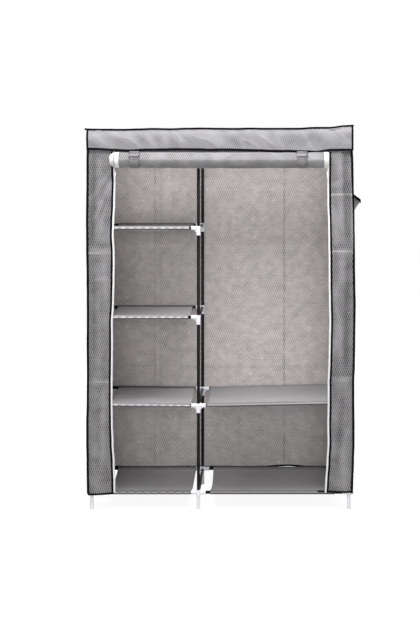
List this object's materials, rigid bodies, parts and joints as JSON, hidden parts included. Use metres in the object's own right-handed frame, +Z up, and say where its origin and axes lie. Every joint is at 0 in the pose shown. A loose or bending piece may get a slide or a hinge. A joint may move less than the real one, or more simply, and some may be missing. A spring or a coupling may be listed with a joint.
{
  "type": "portable fabric wardrobe",
  "caption": "Free-standing tube frame wardrobe with a zipped fabric cover, fabric shelves, a hanging bay and a door rolled up under the header.",
  "frame": {"origin": "on the floor, under the middle of the box round the whole wardrobe", "axes": "+Z up, -Y towards the person who opens the door, +X to that person's right"},
  "size_m": [1.218, 0.5254, 1.674],
  "materials": {
    "black_steel": "gloss",
    "white_plastic": "satin",
    "cover_cloth": "matte",
    "back_cloth": "matte",
    "shelf_cloth": "matte",
    "binding": "matte",
    "zipper_tape": "matte",
    "slider_metal": "satin"
  },
  "bodies": {
    "wardrobe": {"cover_back": "back_cloth", "cover_left": "cover_cloth", "cover_right": "cover_cloth", "cover_cap": "cover_cloth", "side_pocket": "cover_cloth", "zipper_left": "zipper_tape", "zipper_right": "zipper_tape", "shelf_left_base": "shelf_cloth", "shelf_left_lower": "shelf_cloth", "shelf_left_middle": "shelf_cloth", "shelf_left_upper": "shelf_cloth", "shelf_right_base": "shelf_cloth", "shelf_right_lower": "shelf_cloth", "upright_left_front": "black_steel", "upright_left_back": "black_steel", "upright_centre_front": "black_steel", "upright_centre_back": "black_steel", "upright_right_front": "black_steel", "upright_right_back": "black_steel", "bar_left_base_front": "black_steel", "bar_left_base_back": "black_steel", "bar_left_lower_front": "black_steel", "bar_left_lower_back": "black_steel", "bar_left_middle_front": "black_steel", "bar_left_middle_back": "black_steel", "bar_left_upper_front": "black_steel", "bar_left_upper_back": "black_steel", "bar_right_base_front": "black_steel", "bar_right_base_back": "black_steel", "bar_right_lower_front": "black_steel", "bar_right_lower_back": "black_steel", "bar_top_front": "black_steel", "bar_top_back": "black_steel", "hanging_rod": "black_steel", "crossbar_lower": "black_steel", "crossbar_middle": "black_steel", "crossbar_upper": "black_steel", "connector_lower_front": "white_plastic", "connector_lower_back": "white_plastic", "connector_middle_front": "white_plastic", "connector_middle_back": "white_plastic", "connector_upper_front": "white_plastic", "connector_upper_back": "white_plastic", "rail_centre_base": "white_plastic", "rail_centre_top": "white_plastic", "rail_left_base": "white_plastic", "rail_left_lower": "white_plastic", "rail_left_middle": "white_plastic", "rail_left_upper": "white_plastic", "rail_left_top": "white_plastic", "rail_right_base": "white_plastic", "rail_right_lower": "white_plastic", "rail_right_top": "white_plastic"},
    "door_roll": {"rolled_door": "cover_cloth", "roll_strap_left": "cover_cloth", "roll_strap_right": "cover_cloth"},
    "slider_left": {"zip_slider_left": "slider_metal"},
    "pull_left": {"zip_pull_left": "slider_metal"},
    "slider_right": {"zip_slider_right": "slider_metal"},
    "pull_right": {"zip_pull_right": "slider_metal"}
  },
  "joints": [
    {"name": "door_roll_swing", "type": "hinge", "parent": "wardrobe", "child": "door_roll", "pos_m": [0, -0.189, 1.5775], "axis": [-1, 0, 0], "range_deg": [0, 80]},
    {"name": "zip_left_travel", "type": "slide", "parent": "wardrobe", "child": "slider_left", "axis": [0, 0, -1], "range_m": [0, 1.39]},
    {"name": "pull_left_flip", "type": "hinge", "parent": "slider_left", "child": "pull_left", "pos_m": [-0.48205, -0.19041, 1.482], "axis": [-1, 0, 0], "range_deg": [0, 150]},
    {"name": "zip_right_travel", "type": "slide", "parent": "wardrobe", "child": "slider_right", "axis": [-0.0083, 0, -1], "range_m": [0, 1.39]},
    {"name": "pull_right_flip", "type": "hinge", "parent": "slider_right", "child": "pull_right", "pos_m": [0.45326, -0.19041, 1.482], "axis": [-1, 0, 0], "range_deg": [0, 150]}
  ]
}
